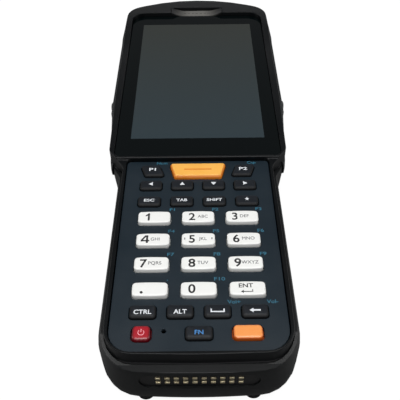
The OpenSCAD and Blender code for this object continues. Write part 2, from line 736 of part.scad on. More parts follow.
// Things on the main board: [x, y, width, length, height]
board_cans = [[-20, chin_y + 11, 18, 24, 1.4], [4, chin_y + 17, 15, 22, 1.4], [-16, chin_y + 55, 30, 18, 1.3],
              [-12, y_bot + 17.3, 24, 4, 1.2]];

module main_board() {
    color("darkgreen") difference() {
        union() {
            plate(box_corners(panel_w - 3.6, y_bot + 14.3, y_top - 28.3, 3), board_z, board_z + board_t);
            plate(box_corners(2 * switch_x + 2.6, side_key_y - 7, side_key_y + 7, 1.5),
                  board_z, board_z + board_t);
        }
        at_screws() cylinder(r = post_r + 0.4, h = FAR);
    }
    // shield cans, sockets and the two side switches
    color("silver") {
        for (b = board_cans) translate([b[0], b[1], board_z + board_t]) cube([b[2], b[3], b[4]]);
    }
    color("#222222") for (s = [-1, 1]) translate([s * switch_x, side_key_y, board_z + board_t + 1])
        cube([2.6, 5, 2], center = true);
}

module scan_engine() {
    color("#1c1c1e") difference() {
        translate([-engine_w / 2, engine_y, hump_cut_z]) cube([engine_w, engine_len, engine_top - hump_cut_z]);
        translate([-5, engine_y + engine_len + 1, 10]) rotate([90, 0, 0]) cylinder(r = 3, h = 3);
        translate([5.5, engine_y + engine_len + 1, 10]) rotate([90, 0, 0]) cylinder(r = 2, h = 3);
    }
}

module scan_window() {
    color([0.35, 0.05, 0.06, 0.6]) translate([-window_w / 2, window_y, window_z0])
        cube([window_w, window_t, window_z1 - window_z0]);
}

module camera_module() {
    color("#1a1a1a") translate([camera_place.x, camera_place.y, 0]) {
        translate([-4.5, -4.5, hump_cut_z]) cube([9, 9, 4]);
        translate([0, 0, 1.7]) cylinder(r = 3, h = 1.2);
    }
}

module camera_window() {
    color("#101820") translate([camera_place.x, camera_place.y, 0.5]) cylinder(r = 5.1, h = 1.1);
    color("#e8e8e0") translate([flash_place.x, flash_place.y, 0.5]) cylinder(r = 1.55, h = 2.2);
}

module speaker() {
    color("#555555") translate([-speaker_w / 2, speaker_y - speaker_len / 2, hump_cut_z])
        cube([speaker_w, speaker_len, 4.2]);
}

module vibration_motor() {
    color("silver") translate([motor_place.x, motor_place.y, hump_cut_z]) cylinder(r = 4, h = 2.8);
}

// ---- dock connector ----
module dock_connector() {
    color("#0c0c0c") difference() {
        union() {
            end_slot(dock_w - 0.3, dock_h - 0.3, dock_face_y, y_bot + 4.2, dock_z);
            translate([-17.9, y_bot + wall + 0.1, dock_z - 4.4]) cube([35.8, 8, 7.4]);
        }
        at_contacts() cube([1.64, 12, 1.14], center = true);
    }
}

module at_contacts() {
    for (i = [0:contact_count - 1], s = [-1, 1])
        translate([(i - (contact_count - 1) / 2) * contact_pitch, dock_face_y, dock_z + s * contact_row_pitch / 2])
            children();
}

module dock_contacts() {
    color("gold") at_contacts() translate([-0.75, -0.4, -0.5]) cube([1.5, 6.2, 1]);
}

// ---- battery ----
module battery_pack() {
    color("#202224") difference() {
        pack_loft();
        for (i = [-2:2]) translate([i * 4 - 1, pack_y1 - 2, blade_z - 0.6]) cube([2, 4, pack_t]);
    }
}

module pack_loft() {
    z = back_z;
    plate(pack_corners, z + 2, z + pack_t);
    plate(pack_corners, z + 0.8, z + 2 + EPS, 0.3);
    plate(pack_corners, z, z + 0.8 + EPS, 1);
}

// Spring blades through the end wall of the battery bay
module battery_contacts() {
    color("gold") for (i = [-2:2]) translate([i * 4, pack_y1 - 0.9, blade_z])
        translate([-0.5, 0, 0]) cube([1, 5, 1.2]);
}

// The latch's tab slides over the pack's end on the outside of the back
module battery_latch() {
    y0 = latch_y - latch_len / 2;
    tab_z = back_z - latch_tab_gap - latch_tab_t;
    color("#3c4043") {
        translate([-latch_w / 2, y0, latch_z]) cube([latch_w, latch_len, 1.8]);
        translate([-latch_flange_w / 2, y0, back_z + 1.75]) cube([latch_flange_w, latch_len, 1.4]);
        translate([-latch_tongue_w / 2, pack_y1 + pack_gap + 0.1, tab_z])
            cube([latch_tongue_w, y0 + 1 - pack_y1 - pack_gap, latch_tab_t]);
        translate([-latch_tongue_w / 2, y0, tab_z]) cube([latch_tongue_w, 1.1, latch_z - tab_z + 0.2]);
        for (i = [-1:1]) translate([-4, latch_y + i * 1.6 - 0.3, latch_z - 0.35]) cube([8, 0.6, 0.6]);
    }
}

// ---- small outside pieces ----
module side_key(s) {
    color("#1a1b1d") translate([0, side_key_y, side_key_z]) {
        translate([s > 0 ? side_key_back : -side_key_back - side_key_t, -side_key_len / 2, -side_key_h / 2])
            cube([side_key_t, side_key_len, side_key_h]);
        translate([s * (side_key_back + side_key_t - EPS), 0, 0]) rotate([0, s * 90, 0])
            cylinder(r1 = 2.6, r2 = 1.7, h = nub_rise);
        translate([s * shaft_x, 0, 0]) rotate([0, s * 90, 0]) cylinder(r = 1.4, h = side_key_back - shaft_x + 0.2);
    }
}

module case_screws() {
    color("silver") at_screws() {
        difference() {
            translate([0, 0, screw_seat_z - screw_head_h - 0.02]) cylinder(r = screw_head_r, h = screw_head_h);
            translate([0, 0, screw_seat_z - screw_head_h - 1]) cylinder(r = 0.9, h = 1.8, $fn = 6);
        }
        translate([0, 0, screw_seat_z - 0.1]) cylinder(r = screw_r, h = screw_top_z - screw_seat_z);
    }
}

module rubber_feet() {
    color("#0a0a0a") for (s = [-1, 1]) translate([s * foot_place.x, foot_place.y, 0]) {
        translate([0, 0, 0.5]) cylinder(r = foot_r, h = foot_seat_z - 0.5);
        cylinder(r1 = foot_r - 0.4, r2 = foot_r, h = 0.5 + EPS);
        cylinder(r = foot_stem_r, h = foot_seat_z + 1.3);
    }
}

OTHER_NODES = ["rear_case", "front_frame", "head_bumper", "case_seal", "display_glass", "glass_gasket",
    "lcd_module", "receiver_grille", "earpiece", "keypad_panel", "keypad_mat", "key_domes",
    "keypad_board", "mid_frame", "main_board", "scan_engine", "scan_window", "camera_module",
    "camera_window", "speaker", "vibration_motor", "dock_connector", "dock_contacts", "battery_pack",
    "battery_contacts", "battery_latch", "side_key_left", "side_key_right", "case_screws", "rubber_feet"];

rear_case();
front_frame();
head_bumper();
case_seal();
display_glass();
glass_gasket();
lcd_module();
receiver_grille();
earpiece();
keypad_panel();
keypad_mat();
key_domes();
keypad_board();
mid_frame();
main_board();
scan_engine();
scan_window();
camera_module();
camera_window();
speaker();
vibration_motor();
dock_connector();
dock_contacts();
battery_pack();
battery_contacts();
battery_latch();
side_key(-1);  // side_key_left
side_key(1);  // side_key_right
case_screws();
rubber_feet();
for (k = keys) keycap(k);
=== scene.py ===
import math

import bmesh
import bpy
from mathutils import Matrix, Vector


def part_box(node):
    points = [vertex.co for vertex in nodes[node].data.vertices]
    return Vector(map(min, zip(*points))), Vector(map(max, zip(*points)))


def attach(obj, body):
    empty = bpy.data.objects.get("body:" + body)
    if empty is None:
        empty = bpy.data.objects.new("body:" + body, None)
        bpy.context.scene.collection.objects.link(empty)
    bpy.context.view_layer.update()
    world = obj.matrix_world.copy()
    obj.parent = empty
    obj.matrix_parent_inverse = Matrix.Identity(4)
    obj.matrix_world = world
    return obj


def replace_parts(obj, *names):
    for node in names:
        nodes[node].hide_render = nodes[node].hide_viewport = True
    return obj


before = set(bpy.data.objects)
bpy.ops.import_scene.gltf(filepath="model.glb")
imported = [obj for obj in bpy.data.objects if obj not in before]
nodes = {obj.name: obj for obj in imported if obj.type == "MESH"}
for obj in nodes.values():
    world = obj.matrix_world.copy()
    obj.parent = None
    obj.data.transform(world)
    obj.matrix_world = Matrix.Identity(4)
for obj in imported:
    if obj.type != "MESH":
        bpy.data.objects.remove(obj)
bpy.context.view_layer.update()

scene = bpy.context.scene
scene.view_settings.view_transform = "Standard"


# ---- Camera ----
# A normal lens held over the keypad end, in line with the terminal, looking down on it as it lies
# on its back.
MM = 0.001
CAMERA_PLACE = Vector((0.674, -180.477, 172.710)) * MM
PITCH = math.radians(46.066)
ROLL = math.radians(-0.599)
camera = bpy.data.cameras.new("camera")
camera.sensor_width = 36
camera.lens = 52.03
camera.clip_start = 0.01
camera.clip_end = 10
gaze = Vector((0, math.cos(PITCH), -math.sin(PITCH)))
level_up = Vector((0, math.sin(PITCH), math.cos(PITCH)))
level_right = Vector((1, 0, 0))
right = level_right * math.cos(ROLL) + level_up * math.sin(ROLL)
up = level_up * math.cos(ROLL) - level_right * math.sin(ROLL)
turn = Matrix((right, up, -gaze)).transposed().to_4x4()
camera_object = bpy.data.objects.new("camera", camera)
camera_object.matrix_world = Matrix.Translation(CAMERA_PLACE) @ turn
scene.collection.objects.link(camera_object)
scene.camera = camera_object


# ---- Table and lamps ----
# A plain pale table top that runs out of view, with soft boxes over the terminal and on all its
# sides. It keeps the terminal's shadow, and shows white to the camera and in what mirrors it, but
# for a painted shadow: a dark zone close beside the terminal that only what mirrors the table sees.
def linear(*rgb):
    """A colour given as it shows on a screen, from 0 to 255, as light."""
    return tuple((v / 255 / 12.92) if v <= 10 else ((v / 255 + 0.055) / 1.055) ** 2.4 for v in rgb)


class Sock:
    """A socket of a material. The operators add the Math nodes that they stand for."""

    def __init__(self, socket):
        self.socket = socket

    def node(self, kind, settings=(), inputs=(), out=0):
        """Adds a node with its settings, then the values or links of its sockets."""
        tree = self.socket.id_data
        made = tree.nodes.new("ShaderNode" + kind)
        for key, value in dict(settings).items():
            setattr(made, key, value)
        for key, value in dict(inputs).items():
            if isinstance(value, Sock):
                tree.links.new(value.socket, made.inputs[key])
            elif made.inputs[key].type == "RGBA" and len(value) == 3:
                made.inputs[key].default_value = (*value, 1)
            else:
                made.inputs[key].default_value = value
        return Sock(made.outputs[out])

    def math(self, operation, first, second=0.0):
        return self.node("Math", {"operation": operation}, {0: first, 1: second})

    def __add__(self, other):
        return self.math("ADD", self, other)

    __radd__ = __add__

    def __sub__(self, other):
        return self.math("SUBTRACT", self, other)

    def __rsub__(self, other):
        return self.math("SUBTRACT", other, self)

    def __mul__(self, other):
        return self.math("MULTIPLY", self, other)

    __rmul__ = __mul__

    def __gt__(self, other):
        return self.math("GREATER_THAN", self, other)

    def __lt__(self, other):
        return self.math("LESS_THAN", self, other)

    def __abs__(self):
        return self.math("ABSOLUTE", self)

    def most(self, other):
        return self.math("MAXIMUM", self, other)

    def span(self, low, high, to_low=0.0, to_high=1.0):
        """This value carried from one range to another and held at its ends."""
        return self.node("MapRange", {}, {0: self, 1: low, 2: high, 3: to_low, 4: to_high})

    def drift(self, low, high):
        """Noise carried to the range between two values."""
        return self.span(0.3, 0.7, low, high)

    def tint(self, first, second):
        """A colour between two, by this value."""
        return self.node("Mix", {"data_type": "RGBA"}, {0: self, 6: first, 7: second}, 2)

    def axes(self):
        """The three parts of a place, in metres."""
        parts = self.node("SeparateXYZ", {}, {0: self}).socket.node.outputs
        return [Sock(part) for part in parts]

    def noise(self, size, detail=3.0, rough=0.6):
        """Random grain whose grains are about this size, in metres."""
        return self.node("TexNoise", {}, {"Vector": self, "Scale": 1 / size, "Detail": detail,
                                          "Roughness": rough})


def surface(name):
    """Starts a material and gives the socket of its object coordinates."""
    material = bpy.data.materials.new(name)
    material.use_nodes = True
    return Sock(material.node_tree.nodes.new("ShaderNodeTexCoord").outputs["Object"])


def finished(spot, height=None, depth=0.0, **sockets):
    """Sets the shader's sockets, with a relief of this depth in metres, and gives the material."""
    tree = spot.socket.id_data
    shader = tree.nodes["Principled BSDF"]
    if height is not None:
        sockets["Normal"] = spot.node("Bump", {}, {"Height": height, "Distance": depth})
    for key, value in sockets.items():
        name = key.replace("_", " ")
        if isinstance(value, Sock):
            tree.links.new(value.socket, shader.inputs[name])
        elif shader.inputs[name].type == "RGBA":
            shader.inputs[name].default_value = (*value, 1)
        else:
            shader.inputs[name].default_value = value
    return next(m for m in bpy.data.materials if m.node_tree == tree)


def through_gloss(rays):
    """1 for a ray that something mirrored or let through, and 0 for any other."""
    return Sock(rays["Is Glossy Ray"]).most(Sock(rays["Is Transmission Ray"]))


def piece(name, shape, material, body="body", slot=None, angle=30):
    """Makes the finished shape an object in its material and rides it on its body."""
    mesh = bpy.data.meshes.new(name)
    shape.to_mesh(mesh)
    shape.free()
    mesh.materials.append(material)
    for face in mesh.polygons:
        face.use_smooth = True
    mesh.set_sharp_from_angle(angle=math.radians(angle))
    made = bpy.data.objects.new(name, mesh)
    scene.collection.objects.link(made)
    if slot:
        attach(made, body)
    return made


WHITE = (1, 1, 1)
TABLE_HALF = 2.5
TABLE_DARK, TABLE_PALE = (0.36, 0.36, 0.36), (0.39, 0.39, 0.39)
WHITE_STRENGTH, PAINTED_SHADOW_STRENGTH = 1.2, 0.06
# how much of the lit table the even white and the painted shadow of the dark zone cover
WHITE_SHARE, MIRRORED_SHARE, PAINTED_SHADOW_SHARE = 0.8, 0.6, 0.85

spot = surface("table")
tree = spot.socket.id_data
x, y = spot.axes()[:2]
rays = spot.node("LightPath").socket.node.outputs
mirrored = through_gloss(rays)
# painted shadow: a dark zone beside the terminal, further out beside the head than beside the grip,
# seen only in what mirrors the table
painted_shadow_reach = y.span(-50 * MM, -12 * MM, 34 * MM, 60 * MM)
outside_painted_shadow = (abs(x) - painted_shadow_reach).span(0, 50 * MM, 0.08, 1)
seen = Sock(rays["Is Camera Ray"]).most(mirrored * outside_painted_shadow * MIRRORED_SHARE)
table_finish = finished(spot, Base_Color=spot.noise(50 * MM, 2.0, 0.5).tint(TABLE_DARK, TABLE_PALE),
                        Roughness=0.9)
lit = Sock(tree.nodes["Principled BSDF"].outputs[0])
white = spot.node("Emission", {}, {"Color": WHITE, "Strength": WHITE_STRENGTH})
# the painted shadow: a dim emission that what mirrors the table sees close beside the terminal
shade = spot.node("Emission", {}, {"Color": WHITE, "Strength": PAINTED_SHADOW_STRENGTH})
shown = spot.node("MixShader", {}, {0: seen * WHITE_SHARE, 1: lit, 2: white})
near = (1 - outside_painted_shadow) * mirrored
shown = spot.node("MixShader", {}, {0: near * PAINTED_SHADOW_SHARE, 1: shown, 2: shade})
tree.links.new(shown.socket, tree.nodes["Material Output"].inputs["Surface"])

shape = bmesh.new()
bmesh.ops.create_grid(shape, x_segments=1, y_segments=1, size=TABLE_HALF)
piece("table", shape, table_finish)

LAMPS = [
    # place, aim, width, height, watts
    ((0.0, -0.15, 0.85), (0, 0.02, 0), 0.60, 0.45, 5.1),
    ((-0.70, 0.05, 0.40), (0, 0, 0), 0.40, 0.60, 1.3),
    ((0.70, 0.05, 0.40), (0, 0, 0), 0.40, 0.60, 1.3),
    ((0.0, 0.75, 0.22), (0, 0.08, 0.02), 0.60, 0.12, 0.25),
    ((0.0, -0.75, 0.42), (0, -0.02, 0), 0.50, 0.30, 0.8),
]
for number, (place, aim, width, height, watts) in enumerate(LAMPS):
    lamp = bpy.data.lights.new("lamp_%d" % number, "AREA")
    lamp.shape = "RECTANGLE"
    lamp.size = width
    lamp.size_y = height
    lamp.energy = watts
    lamp_object = bpy.data.objects.new("lamp_%d" % number, lamp)
    scene.collection.objects.link(lamp_object)
    turn = (Vector(aim) - Vector(place)).to_track_quat("-Z", "Y").to_matrix().to_4x4()
    lamp_object.matrix_world = Matrix.Translation(place) @ turn

# the room is white to the camera, and what mirrors it sees pale walls to the left and right
ROOM_GREY = (0.14, 0.14, 0.145)
world = bpy.data.worlds.new("room")
world.use_nodes = True
scene.world = world
tree = world.node_tree
rays = tree.nodes.new("ShaderNodeLightPath").outputs
aside, _, climb = Sock(tree.nodes.new("ShaderNodeTexCoord").outputs["Generated"]).axes()
wall = climb.span(0.05, 0.35, 0.6, 0.0) * abs(aside).span(0.4, 0.7)
bright = Sock(rays["Is Camera Ray"]).most(through_gloss(rays) * wall)
tree.links.new(bright.tint(ROOM_GREY, WHITE).socket, tree.nodes["Background"].inputs["Color"])


# ---- Rear case ----
# The moulded back shell of glass-filled nylon, with a fine spark texture in the mould. It carries
# every other part, and is closed by six screws from the back.
def soften(shape, radius, segments=2, above=35):
    """Rounds the edges that are sharper than an angle, in degrees."""
    sharp = [edge for edge in shape.edges
             if len(edge.link_faces) == 2 and edge.calc_face_angle(0) > math.radians(above)]
    bmesh.ops.bevel(shape, geom=sharp, offset=radius, offset_type="OFFSET", segments=segments,
                    profile=0.5, affect="EDGES", clamp_overlap=False, material=-1)


def moulded(node, name, material, slot, body="body", angle=30, **rounding):
    """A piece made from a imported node's surface, joined, with whole flat faces and rounded edges,
    in the node's place."""
    shape = bmesh.new()
    shape.from_mesh(nodes[node].data)
    bmesh.ops.remove_doubles(shape, verts=shape.verts, dist=1e-6)
    bmesh.ops.dissolve_limit(shape, angle_limit=math.radians(0.4), use_dissolve_boundaries=False,
                             verts=shape.verts, edges=shape.edges)
    if rounding:
        soften(shape, **rounding)
    made = piece(name, shape, material, body, slot, angle)
    even = made.modifiers.new("flat_faces", "WEIGHTED_NORMAL")
    even.mode = "FACE_AREA"
    even.weight = 100
    even.keep_sharp = True
    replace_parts(made, node)


def grained(name, dark, light, rough, grain=0.45 * MM, depth=0.012 * MM, **sockets):
    """Moulded plastic: fine spark texture, cloudy gloss and a little colour drift."""
    spot = surface(name)
    fine = spot.noise(grain)
    cloud = spot.noise(18 * MM)
    return finished(spot, height=fine, depth=depth,
                    Base_Color=(fine * 0.5 + cloud * 0.5).tint(dark, light),
                    Roughness=cloud.drift(rough - 0.04, rough + 0.05), **sockets)


case_finish = grained("case plastic", linear(8, 10, 11), linear(15, 17, 18), 0.42,
                      Specular_IOR_Level=0.3)
moulded("rear_case", "rear_case_shell", case_finish, "case_plastic", angle=32)


# ---- Chassis and boards ----
# A die-cast magnesium plate holds the display on one side and the main board on the other. The
# boards are green glass-epoxy, with tin-plated cans over the radio and the processor.
BOARD_THICK = 1.25 * MM
SWITCH_REACH = 4.5 * MM


def dress(node, material):
    """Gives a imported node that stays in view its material."""
    mesh = nodes[node].data
    mesh.materials.clear()
    mesh.materials.append(material)


def tracks(spot):
    """Copper tracks that show through green lacquer."""
    return spot.node("TexBrick", {}, {"Vector": spot, "Color1": linear(14, 70, 44),
                                      "Color2": linear(10, 58, 36), "Mortar": linear(40, 110, 70),
                                      "Scale": 600, "Mortar Size": 0.03})


spot = surface("cast magnesium")
cast = spot.noise(1.2 * MM, 4.0)
dress("mid_frame", finished(spot, height=cast, depth=0.03 * MM,
                            Base_Color=cast.tint(linear(140, 142, 144), linear(168, 170, 172)),
                            Roughness=cast.drift(0.35, 0.5), Metallic=1.0))
spot = surface("circuit board")
dress("keypad_board", finished(spot, Base_Color=tracks(spot), Roughness=0.35, Coat_Weight=0.4))
low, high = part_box("main_board")
spot = surface("main board")
x, _, z = spot.axes()
raised = z > low.z + BOARD_THICK
switch = abs(x) > high.x - SWITCH_REACH
tin = spot.noise(3 * MM)
cans = switch.tint(tin.tint(linear(168, 170, 170), linear(192, 194, 192)), linear(30, 30, 32))
dress("main_board", finished(spot, Base_Color=raised.tint(tracks(spot), cans),
                             Roughness=tin.drift(0.3, 0.42), Metallic=raised * (1 - switch)))
dress("key_domes", grained("dome steel", linear(176, 178, 180), linear(198, 200, 202), 0.3,
                           Metallic=1.0))
dress("keypad_mat", grained("mat silicone", linear(70, 74, 80), linear(84, 88, 94), 0.6))
dress("case_seal", grained("seal silicone", linear(44, 44, 46), linear(56, 56, 58), 0.7))


# ---- Front frame ----
# The rim round keypad and display, one moulding in satin black polycarbonate. It is screwed
# down from the back, with the seal under its edge.
frame_finish = grained("frame plastic", linear(4, 6, 8), linear(9, 12, 14), 0.36,
                       grain=0.3 * MM, depth=0.005 * MM, Specular_IOR_Level=0.23)
moulded("front_frame", "front_frame_rim", frame_finish, "frame_plastic", angle=40,
        radius=0.3 * MM)


# ---- Head bumper ----
# A soft thermoplastic band moulded round the sides and the top end of the head. It takes the knock
# when the terminal is dropped, and its lower ends run out on the shoulders.
bumper_finish = grained("bumper rubber", linear(20, 23, 25), linear(27, 30, 32), 0.5,
                        grain=0.5 * MM, depth=0.01 * MM)
moulded("head_bumper", "head_bumper_band", bumper_finish, "bumper_rubber", angle=32)


# ---- Display ----
# A hardened cover glass, printed black round the lit area from behind, lies on a foam gasket over
# the panel. Switched off, the panel shows as a dark grey field.
SIDE_BORDER = 1.5 * MM
END_BORDER = 3.2 * MM
tray_low, tray_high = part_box("lcd_module")
active_low, active_high = tray_low.y + END_BORDER, tray_high.y - END_BORDER
spot = surface("cover glass")
x, y = spot.axes()[:2]
field = (abs(x) < tray_high.x - SIDE_BORDER) * (y > active_low) * (y < active_high)
off_panel = y.span(active_low, active_high).tint(linear(50, 61, 66), linear(54, 57, 54))
smear = spot.noise(30 * MM, 4.0, 0.65)
glass_finish = finished(spot, Base_Color=field.tint(linear(3, 8, 9), off_panel),
                        Roughness=smear.span(0.35, 0.75, 0.04, 0.1), Specular_IOR_Level=0.3)
moulded("display_glass", "cover_glass", glass_finish, "cover_glass", angle=25,
        radius=0.25 * MM, segments=3, above=60)
dress("glass_gasket", grained("gasket foam", linear(26, 26, 28), linear(38, 38, 40), 0.9))
dress("lcd_module", grained("display panel", linear(44, 50, 52), linear(52, 58, 60), 0.3))


# ---- Earpiece ----
# A dished grille of anodised aluminium closes the scoop above the glass, with painted shade that
# darkens it towards its ends. The capsule stands under its middle.
UNSHADED_HALF, PAINTED_SHADE_HALF = 3.5 * MM, 11.5 * MM
spot = surface("grille metal")
brushed = spot.noise(0.5 * MM)
bare = brushed.tint(linear(108, 107, 103), linear(122, 120, 116))
# painted shade: the grille turns dark from this far either side of its middle out to its ends
ends = abs(spot.axes()[0]).span(UNSHADED_HALF, PAINTED_SHADE_HALF)
grille_finish = finished(spot, height=brushed, depth=0.01 * MM,
                         Base_Color=ends.tint(bare, linear(20, 21, 22)),
                         Roughness=brushed.drift(0.45, 0.55), Metallic=0.1)
moulded("receiver_grille", "receiver_scoop", grille_finish, "grille_metal", radius=0.1 * MM)
dress("earpiece", grained("capsule plastic", linear(60, 62, 64), linear(70, 72, 74), 0.5))


# ---- Keypad panel ----
# A blue-black moulded plate with a hole for every key and one for the microphone. It lies in the
# front frame, and its underside stops the flanges of the keys.
panel_finish = grained("panel plastic", linear(16, 30, 39), linear(22, 36, 45), 0.38,
                       grain=0.3 * MM, depth=0.006 * MM)
moulded("keypad_panel", "keypad_plate", panel_finish, "panel_plastic",
        radius=0.12 * MM, segments=1, above=60)


# ---- Keys ----
# Thirty caps, each moulded with a flange that holds it under the panel and a plunger that presses
# its dome. The edges of the top are rolled, or bevelled on the scan key.
FLANGE = 0.6 * MM
FLANGE_LOW = 23.9 * MM
FLANGE_HIGH = 24.7 * MM
PLUNGER_RADIUS = 1.2 * MM
PLUNGER_JOIN = 0.1 * MM
CORNER_STEPS = 5
SIDE_STEPS = 6
# how far each ring of the edge lies inside the last one, and how much higher, in mm
SOFT_EDGE = [(0.05, 0.16), (0.10, 0.13), (0.14, 0.08), (0.20, 0.05), (0.30, 0.03)]
PILLOW_EDGE = [(0.04, 0.14), (0.08, 0.12), (0.14, 0.11), (0.20, 0.08), (0.22, 0.05), (0.20, 0.02)]
BEVEL_EDGE = [(0.12, 0.20), (0.45, 0.55), (0.12, 0.06), (0.08, 0.02)]


def block(width, depth, run=0.0, taper=0.0):
    """The corners of a cap in millimetres, anticlockwise from the near left. The far edge is moved
    sideways by run, and the near edge is shorter by taper at each end."""
    near, far = width / 2 - taper, width / 2
    return [(-near - run / 2, -depth / 2), (near - run / 2, -depth / 2),
            (far + run / 2, depth / 2), (-far + run / 2, depth / 2)]


def outline(corners, inset, radius, bow):
    """Points round a convex plan drawn in by an inset, with its corners rounded to a radius. A bow
    draws the near and far edges in towards their ends."""
    count = len(corners)
    sides = []
    for n in range(count):
        a = Vector(corners[n])
        along = (Vector(corners[(n + 1) % count]) - a).normalized()
        sides.append((a + Vector((-along.y, along.x)) * (inset + radius), along))
    arcs = []
    for n in range(count):
        (a, before), (b, after) = sides[n - 1], sides[n]
        reach = (b - a).cross(after) / before.cross(after)
        middle = a + before * reach
        start = math.atan2(-before.x, before.y)
        sweep = math.acos(max(-1.0, min(1.0, before.dot(after))))
        turns = [start + sweep * step / CORNER_STEPS for step in range(CORNER_STEPS + 1)]
        arcs.append([(middle.x + radius * math.cos(turn), middle.y + radius * math.sin(turn))
                     for turn in turns])
    points = []
    for n in range(count):
        (x0, y0), (x1, y1) = arcs[n][-1], arcs[(n + 1) % count][0]
        points += arcs[n]
        points += [(x0 + (x1 - x0) * part / SIDE_STEPS, y0 + (y1 - y0) * part / SIDE_STEPS)
                   for part in range(1, SIDE_STEPS)]
    half = max(x for x, y in corners)
    return [(x, y * (1 - bow * (x / half) ** 2)) for x, y in points]


NUMBER_CAP = block(10.9, 5.2)
FUNCTION_CAP = block(7.8, 4.4)
SLANTED_CAPS = {"key_p1": block(7.1, 5.6, -1.9), "key_p2": block(7.1, 5.6, 1.9)}
SCAN_CAP = block(21, 7.4, taper=2)
BLANK_CAP = block(8.4, 4.5)
POWER_CAP = block(5.25, 4.8)
TOWARDS_HEAD = 0.5
# the middle of each cap's top, in millimetres, and its slot, for the legends
tops = {}
slots = {}


def keycap(name, corners, radius, edge, material, slot, bow=0.0, tilt=0.0):
    """A cap with its flange and plunger, riding on its own body. Its corners are rounded to a
    radius in millimetres, and a tilt moves each ring of the edge towards the head."""
    low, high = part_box(name)
    middle = (low + high) / 2
    plan = [(x * MM, y * MM) for x, y in corners]
    # each ring's inset from the plan, and its height
    rings = [(-FLANGE, FLANGE_LOW), (-FLANGE, FLANGE_HIGH), (0, FLANGE_HIGH),
             (0, high.z - sum(lift for inset, lift in edge) * MM)]
    for inset, lift in edge:
        rings.append((rings[-1][0] + inset * MM, rings[-1][1] + lift * MM))

    def places(inset, z):
        back = tilt * max(inset, 0)
        return [(middle.x + x, middle.y + y + back, z)
                for x, y in outline(plan, inset, radius * MM - inset, bow if inset >= 0 else 0)]

    shape = bmesh.new()
    foot = top = shape.faces.new([shape.verts.new(place) for place in places(*rings[0])])
    for ring in rings[1:]:
        raised = bmesh.ops.extrude_face_region(shape, geom=[top])["geom"]
        if top != foot:
            bmesh.ops.delete(shape, geom=[top], context="FACES_ONLY")
        top = next(part for part in raised if isinstance(part, bmesh.types.BMFace))
        for vert, place in zip(top.verts, places(*ring)):
            vert.co = place
    bmesh.ops.recalc_face_normals(shape, faces=shape.faces[:])
    length = FLANGE_LOW - low.z + PLUNGER_JOIN
    bmesh.ops.create_cone(shape, cap_ends=True, segments=20, radius1=PLUNGER_RADIUS,
                          radius2=PLUNGER_RADIUS, depth=length,
                          matrix=Matrix.Translation((middle.x, middle.y, low.z + length / 2)))
    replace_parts(piece("cap_" + name[4:], shape, material, name, slot, 35), name)
    tops[name] = Vector((middle.x, middle.y, high.z)) / MM
    slots[name] = slot


def key_plastic_with_painted_shade(name, cloudy, painted_shade_heights, side, dark, light, satin=None, **sockets):
    """Key plastic whose sides are darker than its top by painted shade, and whose top is lighter by
    painted sheen, with the change between two heights in millimetres. The sides are matt where no
    gloss is given for the whole cap."""
    spot = surface(name)
    fine = spot.noise(0.3 * MM)
    cloud = spot.noise(cloudy * MM)
    climb = spot.axes()[2].span(painted_shade_heights[0] * MM, painted_shade_heights[1] * MM)
    rough = cloud.drift(satin, satin + 0.08) if satin else climb.span(0, 1, 0.65, 0.4)
    return finished(spot, height=fine, depth=0.003 * MM,
                    # the sides take the darker colour as painted shade, and the top the lighter
                    # ones as painted sheen
                    Base_Color=climb.tint(side, cloud.tint(dark, light)), Roughness=rough,
                    **sockets)


white_key = grained("white key", linear(241, 242, 238), linear(250, 250, 247), 0.34,
                    grain=0.3 * MM, depth=0.003 * MM, Coat_Weight=0.2)
black_key = key_plastic_with_painted_shade("black key", 4, (27.18, 27.29), linear(6, 8, 11), linear(10, 13, 17),
                        linear(30, 35, 42), Specular_IOR_Level=0.35)
amber_key = key_plastic_with_painted_shade("amber key", 6, (27.35, 27.64), linear(226, 128, 30), linear(252, 180, 74),
                        linear(255, 194, 94), 0.28, Coat_Weight=0.2)
orange_key = key_plastic_with_painted_shade("orange key", 5, (27.3, 27.55), linear(206, 92, 22), linear(250, 154, 78),
                         linear(254, 170, 98), 0.28, Coat_Weight=0.2)
red_key = key_plastic_with_painted_shade("red key", 4, (27.25, 27.5), linear(110, 8, 20), linear(190, 26, 42),
                      linear(206, 38, 54), 0.26, Coat_Weight=0.2)

for name in "1 2 3 4 5 6 7 8 9 point 0 enter".split():
    keycap("key_" + name, NUMBER_CAP, 1.1, SOFT_EDGE, white_key, "number_key_white", bow=0.09)
for name in "left up down right esc tab shift star ctrl alt space backspace fn".split():
    keycap("key_" + name, FUNCTION_CAP, 1.0, PILLOW_EDGE, black_key, "function_key_black",
           tilt=TOWARDS_HEAD)
for name, corners in SLANTED_CAPS.items():
    keycap(name, corners, 0.9, PILLOW_EDGE, black_key, "function_key_black", tilt=TOWARDS_HEAD)
keycap("key_scan", SCAN_CAP, 1.0, BEVEL_EDGE, amber_key, "scan_key_amber")
keycap("key_blank", BLANK_CAP, 1.2, PILLOW_EDGE, orange_key, "blank_key_orange")
keycap("key_power", POWER_CAP, 1.3, PILLOW_EDGE, red_key, "power_key_red")


# ---- Legends ----
# Hard ink a few hundredths of a millimetre thick: black and grey on the white keys, white on the
# black ones, blue on the function key, and teal on the panel for the second functions.

# sizes are in millimetres here, and so are places, from the middle of a key
INK = 0.03
RAISED_MARK = 0.12
RAISED_BAR = 0.1
CAPITAL = 0.72  # the height of the font's capitals at size 1


